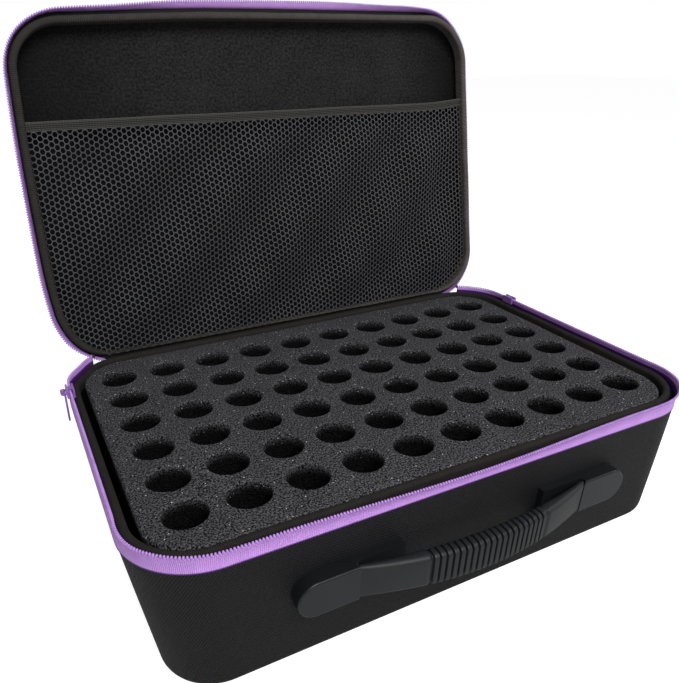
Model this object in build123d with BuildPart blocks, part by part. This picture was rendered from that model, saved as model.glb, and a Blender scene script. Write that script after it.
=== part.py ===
from build123d import *
import os
from math import atan2, cos, degrees, radians, sin, sqrt, tan

os.makedirs("parts", exist_ok=True)

# Frame: origin at the centre of the base's underside, +X to the right, -Y to the front (the handle
# side), +Z up. The lid is made standing open, as the case is shown.

# Bottle grid
bottle_pitch = 35.0
bottle_columns = 10
bottle_rows = 6
bottle_hole_radius = 12.5

# Outline of both shells at the zip: half length, half width, corner radius
case_half_length = 193.5
case_half_width = 128.5
case_corner_radius = 44.0

# Base shell, a drafted tray of fabric-faced foam board
base_height = 89.0
foot_half_length = 179.5
foot_half_width = 121.5
foot_corner_radius = 32.0
foot_edge_radius = 12.0
base_wall = 4.5

# Lid shell
lid_height = 14.0
lid_top_inset = 4.0
lid_edge_radius = 9.0
lid_wall = 4.0
lid_rim_lift = 11.5

# Linings, and the ribbed binding that stands round each opening
lining_thickness = 1.0
layer_gap = 0.2
binding_side_inset = 2.5
binding_end_inset = 5.0
binding_width = 5.0
binding_round = 1.8
base_binding_height = 5.0
lid_binding_height = 8.5

# Zip
tape_inset = 0.7
tape_thickness = 1.0
base_tape_height = 8.0
lid_tape_height = 6.0
coil_width = 2.0
base_coil_height = 2.0
lid_coil_height = 1.5
chain_end_turn = 29.0
stop_length = 1.6
stop_wall = 0.7

# Height from which the closed lid's depths are measured, the hinge line, and how far the lid stands open
lid_seat_height = 97.5
hinge_height = 96.1
hinge_inset = 7.5
lid_open_angle = 99.1
strip_half_length = 145.0
strip_thickness = 1.2
strip_overlap = 11.0
strip_tongue = 2.1
strip_seat_gap = 0.1

# Foam
foam_top = 92.0
foam_end_gap = 4.5
foam_side_gap = 0.5
foam_corner_radius = 36.0
foam_base_clearance = 0.5
pad_thickness = 20.0

# Mesh pocket in the lid
pocket_edge_y = -48.3
mesh_depth = 7.0
mesh_thickness = 0.8
mesh_clearance = 0.15
mesh_border = 5.0
mesh_gap_radius = 5.8
mesh_string = 2.2
band_width = 6.5
band_thickness = 2.0

# Handle, measured out from the front wall
handle_height = 51.0
mount_height = 24.0
mount_outer_end = 116.5
mount_inner_end = 50.0
mount_foot = 5.0
mount_depth = 9.6
mount_bevel = 1.2
grip_height = 22.0
grip_half_length = 79.0
grip_rise = 23.0
grip_end_rise = 9.4
grip_thickness = 10.0
grip_end_gap = 0.3
grip_seam = 0.4
grip_edge_round = 3.0
rib_count = 20
rib_pitch = 4.1
groove_width = 1.6
groove_depth = 1.4
screw_radius = 2.0
screw_clearance = 0.1
screw_inner_x = 76.0
screw_outer_x = 100.0
screw_in_grip = 3.6
screw_in_mount = 8.2
screw_head_radius = 3.6
screw_head_height = 1.0
backing_half_length = 20.0
backing_height = 18.0
backing_thickness = 2.0
backing_corner = 3.0

# Zip sliders and their pulls
slider_rest_y = 72.0
slider_length = 12.0
slider_plate = 1.4
slider_play = 0.2
slider_binding_gap = 0.4
slider_post_length = 4.0
crown_radius = 0.7
crown_length = 7.0
crown_foot = 1.2
pull_bore = 0.9
pull_eye = 1.7
pull_gap = 0.4
pull_width = 5.0
pull_length = 22.0
pull_thickness = 1.2
pull_hole_radius = 1.5

# One overrun carries every cut past the surface that it leaves
overrun = 10.0


def narrowed(outline, amount):
    """The outline drawn in by one amount all round."""
    return tuple(size - amount for size in outline)


def between(low, high, share):
    """The outline that lies at a share of the way from low to high."""
    return tuple(a + (b - a) * share for a, b in zip(low, high))


def outline_face(plane, outline):
    """A rounded rectangle on a plane, from its half length, half width and corner radius."""
    with BuildSketch(plane) as drawn:
        RectangleRounded(2 * outline[0], 2 * outline[1], outline[2])
    return drawn.sketch


def edges_at(solid, plane, lift):
    """The edges of a solid that lie in the plane lifted by an amount."""
    level = plane.offset(lift)
    return solid.edges().filter_by(lambda edge: all(
        abs(level.to_local_coords(edge @ share).Z) < layer_gap / 2 for share in (0, 0.5, 1)))


def drafted_block(plane, low, high, rise):
    """A block whose outline changes evenly from low to high over its rise."""
    loft([outline_face(plane, low), outline_face(plane.offset(rise), high)], ruled=True)


def tray_block(plane, low, high, rise, rounded_lift, edge_radius):
    """A drafted block whose edges at one level, its floor or its top, are rounded."""
    with BuildPart() as block:
        drafted_block(plane, low, high, rise)
        fillet(edges_at(block, plane, rounded_lift), edge_radius)
    return block.part


def ring(plane, outline, width, rise):
    """A band of one width that follows the outline on its inside."""
    extrude(outline_face(plane, outline), amount=rise)
    extrude(outline_face(plane, narrowed(outline, width)), amount=rise, mode=Mode.SUBTRACT)


def save(piece, name):
    """Labels a piece and writes it to its own file."""
    piece.label = name
    export_step(piece, f"parts/{name}.step")


# Base shell
rim = (case_half_length, case_half_width, case_corner_radius)
foot = (foot_half_length, foot_half_width, foot_corner_radius)
ground = Plane.XY


def base_outline(height):
    """The shell's outer outline at a height above the ground."""
    return between(foot, rim, height / base_height)


def front_wall(height):
    """How far the front or back wall stands from the middle at a height."""
    return base_outline(height)[1]


# The handle's own frame lies in the drafted front wall: X to the right, Y up the wall, Z outwards
draft_angle = atan2(case_half_width - foot_half_width, base_height)
handle_frame = Plane(
    origin=(0, -front_wall(handle_height), handle_height),
    x_dir=(1, 0, 0),
    z_dir=(0, -cos(draft_angle), -sin(draft_angle)),
)
screw_places = [(side * x, 0) for side in (-1, 1) for x in (screw_inner_x, screw_outer_x)]
backing_middle = (screw_inner_x + screw_outer_x) / 2
backing_seat = handle_frame.offset(-base_wall)


def base_block(inset, top):
    """A block that fills the base from an inset off its walls and floor up to a height."""
    return tray_block(
        ground.offset(inset),
        narrowed(base_outline(inset), inset),
        narrowed(base_outline(top), inset),
        top - inset,
        0,
        foot_edge_radius - inset,
    )


shell_solid = base_block(0, base_height)
shell_hollow = base_block(base_wall, base_height + overrun)
with BuildPart() as base_shell:
    add(shell_solid)
    add(shell_hollow, mode=Mode.SUBTRACT)
    with BuildSketch(handle_frame):
        with Locations(*screw_places):
            Circle(screw_radius + screw_clearance)
    extrude(amount=-base_wall - overrun, mode=Mode.SUBTRACT)
    with BuildSketch(backing_seat):
        with Locations((-backing_middle, 0), (backing_middle, 0)):
            RectangleRounded(
                2 * (backing_half_length + layer_gap), backing_height + 2 * layer_gap, backing_corner)
    extrude(amount=backing_thickness, mode=Mode.SUBTRACT)
save(base_shell.part, "base_shell")

# Base lining, a brushed cloth skin inside the shell
lining_inset = base_wall + layer_gap
skin_inset = lining_inset + lining_thickness
lining_solid = base_block(lining_inset, base_height)
lining_hollow = base_block(skin_inset, base_height + overrun)
with BuildPart() as base_lining:
    add(lining_solid)
    add(lining_hollow, mode=Mode.SUBTRACT)
save(base_lining.part, "base_lining")

# Ribbed binding over the base's inner edge
binding_outline = (
    case_half_length - binding_side_inset,
    case_half_width - binding_end_inset,
    case_corner_radius - binding_end_inset,
)
base_rim = ground.offset(base_height)
with BuildPart() as base_binding:
    ring(base_rim, binding_outline, binding_width, base_binding_height)
    fillet(edges_at(base_binding, base_rim, base_binding_height), binding_round)
save(base_binding.part, "base_binding")

# Zip tape and coil of the base. Both run round three sides and stop in the back corners, at the stops.
tape_outline = narrowed(rim, tape_inset)
coil_outline = narrowed(rim, tape_inset + (tape_thickness - coil_width) / 2)
base_coil_level = base_height + base_tape_height


chain_turn = radians(chain_end_turn)
corner_x = case_half_length - case_corner_radius
corner_y = case_half_width - case_corner_radius


def open_back(plane, rise):
    """Cuts the back of a ring away between the two ends of the zip, which lie in the back corners."""
    back_reach = case_corner_radius + overrun
    side_reach = corner_x + back_reach * tan(chain_turn)
    with BuildSketch(plane) as back:
        with BuildLine():
            Polyline(
                (-corner_x, corner_y),
                (corner_x, corner_y),
                (side_reach, corner_y + back_reach),
                (-side_reach, corner_y + back_reach),
                close=True,
            )
        make_face()
    extrude(back.sketch, amount=rise, mode=Mode.SUBTRACT)


with BuildPart() as base_zip_tape:
    ring(base_rim, tape_outline, tape_thickness, base_tape_height)
    open_back(base_rim, base_tape_height)
save(base_zip_tape.part, "base_zip_tape")

with BuildPart() as base_zip_coil:
    coil_plane = ground.offset(base_coil_level)
    ring(coil_plane, coil_outline, coil_width, base_coil_height)
    open_back(coil_plane, base_coil_height)
save(base_zip_coil.part, "base_zip_coil")

# Crimped metal stops at the two ends of the base's coil, turned with the corner
coil_middle_inset = tape_inset + tape_thickness / 2
coil_middle_radius = case_corner_radius - coil_middle_inset
stop_x = corner_x + coil_middle_radius * sin(chain_turn) - stop_length / 2 * cos(chain_turn)
stop_y = corner_y + coil_middle_radius * cos(chain_turn) + stop_length / 2 * sin(chain_turn)
with BuildPart() as zip_stops:
    with BuildSketch(ground.offset(base_coil_level)):
        for side in (-1, 1):
            with Locations(Location((side * stop_x, stop_y), -side * chain_end_turn)):
                Rectangle(stop_length, coil_width + 2 * stop_wall)
    extrude(amount=base_coil_height)
save(zip_stops.part, "zip_stops")

# Foam: a pad on the floor, and the insert with a round hole for each bottle
pad_floor = skin_inset + layer_gap
insert_floor = pad_floor + pad_thickness
foam_inset = skin_inset + foam_base_clearance
foam_top_outline = (
    binding_outline[0] - binding_width - foam_end_gap,
    binding_outline[1] - binding_width - foam_side_gap,
    foam_corner_radius,
)


def foam_outline(height):
    """The foam's outline where the drafted lining holds it."""
    inside = narrowed(base_outline(height), foam_inset)
    return tuple(min(a, b) for a, b in zip(inside, foam_top_outline))


with BuildPart() as foam_pad:
    pad_plane = ground.offset(pad_floor)
    drafted_block(pad_plane, foam_outline(pad_floor), foam_outline(insert_floor), pad_thickness)
    fillet(edges_at(foam_pad, pad_plane, 0), foot_edge_radius - skin_inset)
save(foam_pad.part, "foam_pad")

with BuildPart() as foam_insert:
    insert_plane = ground.offset(insert_floor)
    insert_thickness = foam_top - insert_floor
    drafted_block(insert_plane, foam_outline(insert_floor), foam_top_outline, insert_thickness)
    with BuildSketch(insert_plane):
        with GridLocations(bottle_pitch, bottle_pitch, bottle_columns, bottle_rows):
            Circle(bottle_hole_radius)
    extrude(amount=insert_thickness, mode=Mode.SUBTRACT)
save(foam_insert.part, "foam_insert")

# Handle mounts: a thin foot under the grip's end and a thick rounded end beside it
grip_end_middle = (grip_end_rise + mount_foot + grip_end_gap) / 2
grip_end_radius = (grip_end_rise - mount_foot - grip_end_gap) / 2
# Plan of the handle, seen from above: X to the right, Y outwards from the wall
handle_plan = Plane(
    origin=handle_frame.origin, x_dir=(1, 0, 0), z_dir=handle_frame.y_dir * -1)


def make_mount(side):
    """One end mount of the handle, left for side -1 and right for side 1."""
    with BuildPart() as mount:
        with BuildSketch(handle_frame):
            end_middle = mount_outer_end - mount_height / 2
            with Locations((side * (mount_inner_end + end_middle) / 2, 0)):
                Rectangle(end_middle - mount_inner_end, mount_height)
            with Locations((side * end_middle, 0)):
                Circle(mount_height / 2)
        extrude(amount=mount_depth)
        with BuildSketch(handle_plan):
            with Locations((side * grip_half_length / 2, mount_foot + overrun / 2)):
                Rectangle(grip_half_length, overrun)
            with Locations((side * grip_half_length, grip_end_middle)):
                Circle(grip_end_radius + grip_seam)
        extrude(amount=mount_height, both=True, mode=Mode.SUBTRACT)
        rounded_end = mount.edges().filter_by(GeomType.LINE, reverse=True)
        fillet(edges_at(mount, handle_frame, mount_depth) & rounded_end, mount_bevel)
        with BuildSketch(handle_frame):
            with Locations((side * screw_inner_x, 0)):
                Circle(screw_radius + screw_clearance)
        extrude(amount=mount_foot, mode=Mode.SUBTRACT)
        with BuildSketch(handle_frame):
            with Locations((side * screw_outer_x, 0)):
                Circle(screw_radius + screw_clearance)
        extrude(amount=screw_in_mount, mode=Mode.SUBTRACT)
    return mount.part


for side, name in ((-1, "handle_mount_left"), (1, "handle_mount_right")):
    save(make_mount(side), name)

# Grip: a bowed rubber bar with rounded ends that sit in the mounts' notches
grip_bow = grip_rise - grip_end_rise
grip_radius = (grip_half_length**2 + grip_bow**2) / (2 * grip_bow)
grip_inner_rise = grip_rise - grip_thickness
grip_end_inner = mount_foot + grip_end_gap
with BuildPart() as handle_grip:
    with BuildSketch(handle_plan):
        with BuildLine():
            ThreePointArc(
                (-grip_half_length, grip_end_rise), (0, grip_rise), (grip_half_length, grip_end_rise))
            ThreePointArc(
                (grip_half_length, grip_end_rise),
                (grip_half_length + grip_end_radius, grip_end_middle),
                (grip_half_length, grip_end_inner),
            )
            ThreePointArc(
                (grip_half_length, grip_end_inner),
                (0, grip_inner_rise),
                (-grip_half_length, grip_end_inner),
            )
            ThreePointArc(
                (-grip_half_length, grip_end_inner),
                (-grip_half_length - grip_end_radius, grip_end_middle),
                (-grip_half_length, grip_end_rise),
            )
        make_face()
    extrude(amount=grip_height / 2, both=True)
    long_edges = handle_grip.edges().filter_by(GeomType.CIRCLE).filter_by(
        lambda edge: abs(edge.radius - grip_radius) < layer_gap)
    fillet(long_edges, grip_edge_round)
    groove_step = degrees(rib_pitch / grip_radius)
    groove_angles = [90 + (n - rib_count / 2) * groove_step for n in range(rib_count + 1)]
    bow_centre = handle_plan.from_local_coords(Vector(0, grip_rise - grip_radius, 0))
    bow_plane = Plane(origin=bow_centre, x_dir=(1, 0, 0), z_dir=handle_plan.z_dir)
    for lift, depth in ((0, groove_depth), (1, grip_thickness), (-1, grip_thickness)):
        level = bow_plane.offset(lift * (grip_height - groove_depth) / 2)
        tall = grip_height if lift == 0 else groove_depth
        with BuildSketch(level):
            for angle in groove_angles:
                with Locations(Location(
                    ((grip_radius - depth / 2) * cos(radians(angle)),
                     (grip_radius - depth / 2) * sin(radians(angle))), angle)):
                    Rectangle(depth, groove_width)
        extrude(amount=tall / 2, both=True, mode=Mode.SUBTRACT)
    with BuildSketch(handle_frame.offset(mount_foot)):
        with Locations((-screw_inner_x, 0), (screw_inner_x, 0)):
            Circle(screw_radius)
    extrude(amount=grip_end_gap + screw_in_grip, mode=Mode.SUBTRACT)
save(handle_grip.part, "handle_grip")

# Screws from inside the case, through the backing plates and the wall
with BuildPart() as handle_screws:
    for x, reach in (
        (screw_inner_x, mount_foot + screw_in_grip),
        (screw_outer_x, screw_in_mount - layer_gap),
    ):
        with BuildSketch(backing_seat):
            with Locations((-x, 0), (x, 0)):
                Circle(screw_radius)
        extrude(amount=base_wall + reach)
        with BuildSketch(backing_seat):
            with Locations((-x, 0), (x, 0)):
                Circle(screw_head_radius)
        extrude(amount=screw_head_height)
save(handle_screws.part, "handle_screws")

# Backing plates let into the inside of the wall, with counterbores for the screw heads
for side, name in ((-1, "handle_backing_left"), (1, "handle_backing_right")):
    with BuildPart() as backing:
        with BuildSketch(backing_seat):
            with Locations((side * backing_middle, 0)):
                RectangleRounded(2 * backing_half_length, backing_height, backing_corner)
        extrude(amount=backing_thickness)
        for radius, depth in (
            (screw_head_radius + screw_clearance, screw_head_height),
            (screw_radius + screw_clearance, backing_thickness),
        ):
            with BuildSketch(backing_seat):
                with Locations((side * screw_inner_x, 0), (side * screw_outer_x, 0)):
                    Circle(radius)
            extrude(amount=depth, mode=Mode.SUBTRACT)
    save(backing.part, name)

# The lid's frame, turned back about the hinge line. Its X and Y are those of the closed lid, and its
# Z is the depth that the closed lid would rise above its seat height.
hinge_y = case_half_width - hinge_inset
hinge_lift = lid_seat_height - hinge_height
open_turn = radians(lid_open_angle)
lid_frame = Plane(
    origin=(
        0,
        hinge_y - hinge_y * cos(open_turn) + hinge_lift * sin(open_turn),
        hinge_height + hinge_y * sin(open_turn) + hinge_lift * cos(open_turn),
    ),
    x_dir=(1, 0, 0),
    z_dir=(0, sin(open_turn), cos(open_turn)),
)
lid_rim = lid_frame.offset(lid_rim_lift)
lid_top = narrowed(rim, lid_top_inset)


def lid_outline(depth):
    """The lid shell's outer outline at a depth behind its rim."""
    return between(rim, lid_top, depth / lid_height)


def lid_block(inset, floor_depth):
    """A block that fills the lid from an inset off its walls and top out to a depth before its rim."""
    top_depth = lid_height - inset
    return tray_block(
        lid_rim.offset(floor_depth),
        narrowed(lid_outline(floor_depth), inset),
        narrowed(lid_outline(top_depth), inset),
        top_depth - floor_depth,
        top_depth - floor_depth,
        lid_edge_radius - inset,
    )


lid_solid = lid_block(0, 0)
lid_hollow = lid_block(lid_wall, -overrun)
with BuildPart() as lid_shell:
    add(lid_solid)
    add(lid_hollow, mode=Mode.SUBTRACT)
save(lid_shell.part, "lid_shell")

lid_lining_solid = lid_block(lid_wall + layer_gap, 0)
lid_lining_hollow = lid_block(lid_wall + layer_gap + lining_thickness, -overrun)
with BuildPart() as lid_lining:
    add(lid_lining_solid)
    add(lid_lining_hollow, mode=Mode.SUBTRACT)
save(lid_lining.part, "lid_lining")

with BuildPart() as lid_binding:
    ring(lid_rim.offset(-lid_binding_height), binding_outline, binding_width, lid_binding_height)
    fillet(edges_at(lid_binding, lid_rim, -lid_binding_height), binding_round)
save(lid_binding.part, "lid_binding")

with BuildPart() as lid_zip_tape:
    lid_tape_plane = lid_rim.offset(-lid_tape_height)
    ring(lid_tape_plane, tape_outline, tape_thickness, lid_tape_height)
    open_back(lid_tape_plane, lid_tape_height)
save(lid_zip_tape.part, "lid_zip_tape")

with BuildPart() as lid_zip_coil:
    lid_coil_plane = lid_rim.offset(-lid_tape_height - lid_coil_height)
    ring(lid_coil_plane, coil_outline, coil_width, lid_coil_height)
    open_back(lid_coil_plane, lid_coil_height)
save(lid_zip_coil.part, "lid_zip_coil")

# Fabric hinge: one leaf up the base's back wall, and one down the lid's with a tongue past its rim,
# which comes to rest on the base's leaf
leaf_inner = case_half_width + strip_seat_gap
leaf_outer = leaf_inner + strip_thickness
leaf_foot = base_height - strip_overlap
wall_lean = case_half_width - front_wall(leaf_foot)
with BuildPart() as hinge_strip_base:
    with BuildSketch(Plane.YZ):
        with BuildLine():
            Polyline(
                (leaf_inner - wall_lean, leaf_foot),
                (leaf_inner, base_height),
                (leaf_outer, base_height),
                (leaf_outer - wall_lean, leaf_foot),
                close=True,
            )
        make_face()
    extrude(amount=strip_half_length, both=True)
save(hinge_strip_base.part, "hinge_strip_base")

lid_lean = lid_top_inset * (lid_height - lid_edge_radius) / lid_height
tongue_end = lid_rim_lift - strip_tongue
lid_section = Plane(origin=lid_frame.origin, x_dir=lid_frame.y_dir, z_dir=(1, 0, 0))
with BuildPart() as hinge_strip_lid:
    with BuildSketch(lid_section):
        with BuildLine():
            Polyline(
                (leaf_inner, tongue_end),
                (leaf_inner, lid_rim_lift),
                (leaf_inner - lid_lean, lid_rim_lift + lid_height - lid_edge_radius),
                (leaf_outer - lid_lean, lid_rim_lift + lid_height - lid_edge_radius),
                (leaf_outer, lid_rim_lift),
                (leaf_outer, tongue_end),
                close=True,
            )
        make_face()
    extrude(amount=strip_half_length, both=True)
save(hinge_strip_lid.part, "hinge_strip_lid")

# Mesh pocket: a net across the hinge half of the lid, with an elastic band along its free edge
net_outline = narrowed(binding_outline, binding_width + mesh_clearance)
net_plane = lid_frame.offset(mesh_depth)
net_front = pocket_edge_y + band_width / 2
net_back = net_outline[1]
net_middle = (net_front + net_back) / 2
net_depth = net_back - net_front
gap_step_x = 2 * mesh_gap_radius + mesh_string
gap_step_y = gap_step_x * sqrt(3) / 2
gap_columns = int((2 * (net_outline[0] - mesh_border) - gap_step_x / 2) / gap_step_x)
gap_rows = int((net_depth - 2 * mesh_border) / gap_step_y)


def gap_places():
    """The middles of the net's gaps, in staggered rows, kept off its rounded border."""
    places = []
    arc_x, arc_y = net_outline[0] - net_outline[2], net_outline[1] - net_outline[2]
    reach = net_outline[2] - mesh_border - mesh_gap_radius
    for row in range(gap_rows):
        shift = gap_step_x / 4 * (1 if row % 2 else -1)
        y = net_middle + (row - (gap_rows - 1) / 2) * gap_step_y
        for column in range(gap_columns):
            x = shift + (column - (gap_columns - 1) / 2) * gap_step_x
            if sqrt(max(abs(x) - arc_x, 0) ** 2 + max(y - arc_y, 0) ** 2) <= reach:
                places.append((x, y))
    return places


with BuildPart() as pocket_mesh:
    with BuildSketch(net_plane):
        RectangleRounded(2 * net_outline[0], 2 * net_outline[1], net_outline[2])
        with Locations((0, net_middle)):
            Rectangle(2 * net_outline[0], net_depth, mode=Mode.INTERSECT)
        with Locations(*gap_places()):
            RegularPolygon(mesh_gap_radius, 6, major_radius=False, rotation=30, mode=Mode.SUBTRACT)
    extrude(amount=mesh_thickness)
save(pocket_mesh.part, "pocket_mesh")

with BuildPart() as pocket_band:
    with BuildSketch(lid_frame.offset(mesh_depth + (mesh_thickness - band_thickness) / 2)):
        with Locations((0, pocket_edge_y)):
            Rectangle(2 * net_outline[0], band_width)
    extrude(amount=band_thickness)
save(pocket_band.part, "pocket_band")

# Zip sliders on the base's coil at the back of its two straight sides, with a pull hanging from each.
# They pass between the base's binding and that of the closed lid.
slider_floor = base_height + base_binding_height + slider_binding_gap
slider_top = lid_seat_height + lid_rim_lift - lid_binding_height - slider_binding_gap
slider_middle_z = (slider_floor + slider_top) / 2
coil_middle_x = case_half_length - coil_middle_inset
channel_half = coil_width / 2 + slider_play
plate_outside = coil_middle_x + channel_half + slider_plate
crown_x = plate_outside + pull_eye + pull_gap
coil_top = base_coil_level + base_coil_height


def make_slider(side):
    """A slider: two plates beside the coil, a post between them above it, and the pull's crown."""
    with BuildPart() as slider:
        for face in (-1, 1):
            plate_x = coil_middle_x + face * (channel_half + slider_plate / 2)
            with Locations((side * plate_x, slider_rest_y, slider_middle_z)):
                Box(slider_plate, slider_length, slider_top - slider_floor)
        post_floor = coil_top + slider_play
        with Locations((side * coil_middle_x, slider_rest_y, (post_floor + slider_top) / 2)):
            Box(2 * channel_half, slider_post_length, slider_top - post_floor)
        with Locations(Location((side * crown_x, slider_rest_y, slider_middle_z), (90, 0, 0))):
            Cylinder(crown_radius, crown_length)
        foot_middle = (crown_length - crown_foot) / 2
        foot_reach = crown_x + crown_radius - plate_outside
        for end in (-1, 1):
            foot_place = (
                side * (plate_outside + foot_reach / 2), slider_rest_y + end * foot_middle, slider_middle_z)
            with Locations(foot_place):
                Box(foot_reach, crown_foot, 2 * crown_radius)
    return slider.part


def make_pull(side):
    """A pull: an eye round the crown's bar, and a flat tab that hangs from the eye's inner side."""
    with BuildPart() as pull:
        with Locations(Location((side * crown_x, slider_rest_y, slider_middle_z), (90, 0, 0))):
            Cylinder(pull_eye, pull_width - 2 * pull_gap)
        tab_x = side * (crown_x - pull_eye + pull_thickness / 2)
        with BuildSketch(Plane(
            origin=(tab_x, slider_rest_y, slider_middle_z), x_dir=(0, 1, 0), z_dir=(1, 0, 0),
        )):
            with Locations((0, -pull_length / 2)):
                RectangleRounded(pull_width - 2 * pull_gap, pull_length, pull_hole_radius)
            with Locations((0, -pull_length + 2 * pull_hole_radius)):
                Circle(pull_hole_radius, mode=Mode.SUBTRACT)
        extrude(amount=pull_thickness / 2, both=True)
        with Locations(Location((side * crown_x, slider_rest_y, slider_middle_z), (90, 0, 0))):
            Cylinder(pull_bore, pull_width, mode=Mode.SUBTRACT)
    return pull.part


for side, name in ((-1, "left"), (1, "right")):
    save(make_slider(side), f"zip_slider_{name}")
    save(make_pull(side), f"zip_pull_{name}")
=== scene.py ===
import bpy
import numpy as np
from mathutils import Matrix, Vector


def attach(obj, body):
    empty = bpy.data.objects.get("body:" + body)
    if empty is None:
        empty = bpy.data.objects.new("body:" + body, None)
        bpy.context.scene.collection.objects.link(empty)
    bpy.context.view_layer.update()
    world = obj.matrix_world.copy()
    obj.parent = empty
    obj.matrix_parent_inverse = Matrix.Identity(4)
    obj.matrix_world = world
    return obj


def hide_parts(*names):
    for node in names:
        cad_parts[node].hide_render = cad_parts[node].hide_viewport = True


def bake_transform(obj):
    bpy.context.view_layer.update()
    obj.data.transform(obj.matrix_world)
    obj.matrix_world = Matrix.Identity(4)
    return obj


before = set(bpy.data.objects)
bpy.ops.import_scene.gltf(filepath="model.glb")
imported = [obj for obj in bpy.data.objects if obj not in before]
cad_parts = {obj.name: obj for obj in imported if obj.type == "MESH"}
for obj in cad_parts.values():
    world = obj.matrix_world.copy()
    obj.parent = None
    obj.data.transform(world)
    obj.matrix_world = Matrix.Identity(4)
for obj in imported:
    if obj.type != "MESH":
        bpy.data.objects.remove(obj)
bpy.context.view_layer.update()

# Base shell
# A tray of foam board moulded in a press, with a woven nylon cover bonded to its outside. The
# press gives it drafted walls, soft corners and a rounded foot.
mm = 0.001
# An outline is its half length, its half width and the radius of its corners
rim = np.array([193.5, 128.5, 44.0])
foot = np.array([179.5, 121.5, 32.0])
base_height = 89.0
foot_round = 6.0
board = 4.5
wall_swell, swell_length = 0.5, 0.21
# The cover's fold over the board's edge: how far in, and how far from the edge
edge_fold = (0.25, 0.2), (0.9, 0.0)
weave_period, weave_turn = 1.5 * mm, np.radians(38)
# Stations round a case, counterclockwise from the middle of its back
stations = np.cumsum([0, 48, 24, 56, 24, 96, 24, 56, 24, 48])
whole_way = stations[-1]
all_round = np.arange(whole_way)


def ring(outline, out=0.0, height=0.0, at=all_round):
    """One row of points round a rounded rectangle. A point is the middle of its corner's arc, slid along
    the side between two corners, plus the corner radius and the distance out in the way it faces."""
    slide_x = np.interp(at, stations, [0, -1, -1, -1, -1, 1, 1, 1, 1, 0])
    slide_y = np.interp(at, stations, [1, 1, 1, -1, -1, -1, -1, 1, 1, 1])
    facing = np.radians(np.interp(at, stations, [90, 90, 180, 180, 270, 270, 360, 360, 450, 450]))
    half_length, half_width, radius = outline
    x = slide_x * (half_length - radius) + np.cos(facing) * (radius + out)
    y = slide_y * (half_width - radius) + np.sin(facing) * (radius + out)
    return np.stack([x, y, height + 0 * x], -1) * mm


def eased(at, places, values):
    """Values that change gently from place to place: straight mixing with its share bent to a slow
    start and a slow end."""
    places, values = np.array(places, float), np.array(values, float)
    n = np.clip(np.searchsorted(places, at, "right") - 1, 0, len(places) - 2)
    share = np.clip((at - places[n]) / (places[n + 1] - places[n]), 0, 1)
    return values[n] + (values[n + 1] - values[n]) * share**2 * (3 - 2 * share)


def bell(at, middle, spread):
    """1 in the middle, falling off to both sides: e to the minus square of the distance in spreads."""
    return np.exp(-(((at - middle) / spread) ** 2))


def base_outline(height):
    """The base's outline at a height: the foot's and the rim's, mixed by the share of the height."""
    return foot + (rim - foot) * height / base_height


def rounded_foot(radius, floor=0.0, inset=0.0, steps=10):
    """Rows of a quarter round, from a flat underside out and up to a wall that stands inside the base's
    outline by the inset."""
    rows = []
    for turn in np.radians(np.linspace(0, 90, steps)):
        height = floor + radius * (1 - np.cos(turn))
        rows.append(ring(base_outline(height), radius * (np.sin(turn) - 1) - inset, height))
    return rows


def unevenness(x, y, length):
    """A soft hand-made waviness from -1 to 1: the mean of five sines that run in five directions, each a
    little shorter than the last."""
    turn = np.arange(5) * 2.4
    across = np.cos(turn) * np.asarray(x)[..., None] + np.sin(turn) * np.asarray(y)[..., None]
    return np.sin(across * 2 * np.pi / (length * (1 - 0.11 * np.arange(5))) + turn * 3).mean(-1)


def surface(name, grid, finish, closed=True, caps="", place=None):
    """A skin over rows and columns of points. Four neighbours make a face, closed joins the last column
    to the first, and caps names the rows, first or last, that one flat face covers. The UV map is in
    metres: the way along the longest row, and the way across the rows."""
    rows, columns = grid.shape[:2]
    index = np.arange(rows * columns).reshape(rows, columns)
    if closed:
        index = np.hstack([index, index[:, :1]])
    laid = grid.reshape(-1, 3)[index]
    step = np.linalg.norm(np.diff(laid, axis=1), axis=2)
    run = np.append(0, step[step.sum(1).argmax()].cumsum())
    rise = np.vstack([0 * run, np.linalg.norm(np.diff(laid, axis=0), axis=2).cumsum(0)])
    uv = np.stack(np.broadcast_arrays(run, rise), -1)
    near, far = slice(None, -1), slice(1, None)
    square = ((near, near), (near, far), (far, far), (far, near))
    faces = np.stack([index[s] for s in square], -1).reshape(-1, 4).tolist()
    face_uv = [np.stack([uv[s] for s in square], 2).reshape(-1, 2)]
    for row, order in ((0, -1), (-1, 1)):
        if ("first", "last")[row] in caps:
            faces.append(index[row, :columns][::order].tolist())
            face_uv.append(grid[row, ::order, :2])
    points = grid.reshape(-1, 3)
    return piece(name, points if place is None else place(points), faces, finish, np.concatenate(face_uv))


def piece(name, points, faces, finish, uv=None):
    """An object whose mesh has these points and faces, smooth but for its sharp edges."""
    mesh = bpy.data.meshes.new(name)
    mesh.from_pydata(points.tolist(), [], faces)
    if uv is not None:
        mesh.uv_layers.new(name="UVMap").data.foreach_set("uv", uv.astype(np.float32).ravel())
    mesh.materials.append(finish)
    mesh.shade_smooth()
    mesh.set_sharp_from_angle(angle=np.radians(42))
    return placed(name, mesh)


def placed(name, data):
    """An object that holds this data, in the scene."""
    made = bpy.data.objects.new(name, data)
    bpy.context.scene.collection.objects.link(made)
    return made


def fit(made, body, slot, *nodes):
    """A piece rides on its body and stands for its CAD nodes, which it hides. The slot is not used."""
    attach(made, body)
    if nodes:
        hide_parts(*nodes)
    return made


def colour(red, green, blue):
    """A colour as a picture gives it, 0 to 255, made linear for the shader."""
    share = np.array([red, green, blue]) / 255
    return (*np.where(share <= 0.04045, share / 12.92, ((share + 0.055) / 1.055) ** 2.4), 1)


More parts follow.
